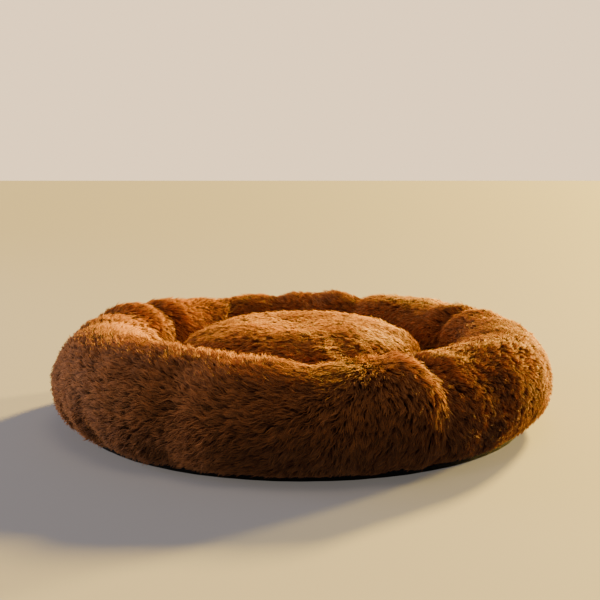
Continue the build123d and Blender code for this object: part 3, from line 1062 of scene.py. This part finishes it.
# CAD nodes whose shape is right, each in a better material
KEPT_NODES = {
    "base_wadding": FIBRE,
    "inner_seam_tape": LINING,
    "inner_bag_bottom": BAG,
    "zip_tape_upper": ZIP_TAPE,
    "zip_tape_lower": ZIP_TAPE,
    "zip_teeth_upper": ZIP_TEETH,
    "zip_teeth_lower": ZIP_TEETH,
    "zip_stops": ZIP_TEETH,
    "zip_slider": ZIP_METAL,
    "zip_pull": ZIP_METAL,
}
for name, material in KEPT_NODES.items():
    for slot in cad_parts[name].material_slots:
        slot.material = material


# ----------------------------------------
# Floor, light and camera

AMBIENT = (0.125, 0.130, 0.155, 1)     # what lights the bed from all sides
BACKDROP = (1.90, 1.36, 0.82, 1)       # what is seen behind it
FLOOR_HALF = 12.0
LOOK_AT = Vector((0, 0, 0.05))
CAMERA_DISTANCE = 1.26
CAMERA_ELEVATION = math.radians(14.62)
CAMERA_TILT = math.radians(8.15)       # below the horizon
CAMERA_SIDE = -0.0025


def build_floor():
    """A wide pale floor with a little light of its own, so that its shadows stay soft and clear."""
    half = FLOOR_HALF
    verts = [(-half, -half, 0), (half, -half, 0), (half, half, 0), (-half, half, 0)]
    material, _, _, shader = new_material("floor")
    put(shader, {"Base Color": (0.31, 0.32, 0.395, 1), "Roughness": 0.8})
    put(shader, {"Emission Color": (1.0, 0.90, 0.78, 1), "Emission Strength": 0.11})
    floor = new_object("floor", verts, [(0, 1, 2, 3)], material, False)
    floor.visible_diffuse = False


def towards(azimuth, elevation):
    """Unit vector to a place; azimuth runs from the front towards +X, both in degrees."""
    a, e = math.radians(azimuth - 90), math.radians(elevation)
    return Vector((math.cos(a) * math.cos(e), math.sin(a) * math.cos(e), math.sin(e)))


def add_light(name, kind, energy, colour, place, aim):
    """A light at a place, shining along aim."""
    data = bpy.data.lights.new(name, kind)
    data.energy = energy
    data.color = colour
    light = bpy.data.objects.new(name, data)
    light.location = place
    light.rotation_euler = aim.to_track_quat("-Z", "Y").to_euler()
    bpy.context.collection.objects.link(light)
    return light


def sun(name, azimuth, elevation, spread, strength, colour):
    """A distant light with soft shadows."""
    place = towards(azimuth, elevation) * 3
    light = add_light(name, "SUN", strength, colour, place, -place)
    light.data.angle = math.radians(spread)


def area_light(name, azimuth, elevation, distance, size, power, colour):
    """A round light that looks at the bed."""
    place = towards(azimuth, elevation) * distance
    light = add_light(name, "AREA", power, colour, place, LOOK_AT - place)
    light.data.shape = "DISK"
    light.data.size = size
    light.visible_camera = False


def build_world():
    """A bright warm backdrop behind the bed, which is itself lit by a dim cool surrounding."""
    world = bpy.data.worlds.new("studio")
    bpy.context.scene.world = world
    world.use_nodes = True
    nodes, links = world.node_tree.nodes, world.node_tree.links
    surrounding = nodes["Background"]
    put(surrounding, {"Color": AMBIENT})
    behind = nodes.new("ShaderNodeBackground")
    put(behind, {"Color": BACKDROP})
    seen = nodes.new("ShaderNodeLightPath")
    mix = nodes.new("ShaderNodeMixShader")
    links.new(seen.outputs["Is Camera Ray"], mix.inputs["Fac"])
    links.new(surrounding.outputs[0], mix.inputs[1])
    links.new(behind.outputs[0], mix.inputs[2])
    links.new(mix.outputs[0], nodes["World Output"].inputs["Surface"])


def build_camera():
    """The viewing angle: a little above the rim, from 1.26 m in front."""
    data = bpy.data.cameras.new("camera")
    data.sensor_width = 36.0
    data.lens = 60.3
    camera = bpy.data.objects.new("camera", data)
    forward = CAMERA_DISTANCE * math.cos(CAMERA_ELEVATION)
    camera.location = (CAMERA_SIDE, -forward, CAMERA_DISTANCE * math.sin(CAMERA_ELEVATION))
    camera.rotation_euler = (math.radians(90) - CAMERA_TILT, 0, 0)
    bpy.context.collection.objects.link(camera)
    bpy.context.scene.camera = camera


build_floor()
sun("low_warm_key", 147, 25, 8, 16.0, (1.0, 0.62, 0.09))
sun("warm_rim", 126, 8, 6, 15.0, (1.0, 0.66, 0.12))
area_light("soft_top", 10, 74, 2.4, 1.2, 11, (1.0, 0.72, 0.38))
area_light("soft_fill", -95, 8, 2.4, 1.6, 40, (1.0, 0.90, 0.90))
build_world()
build_camera()
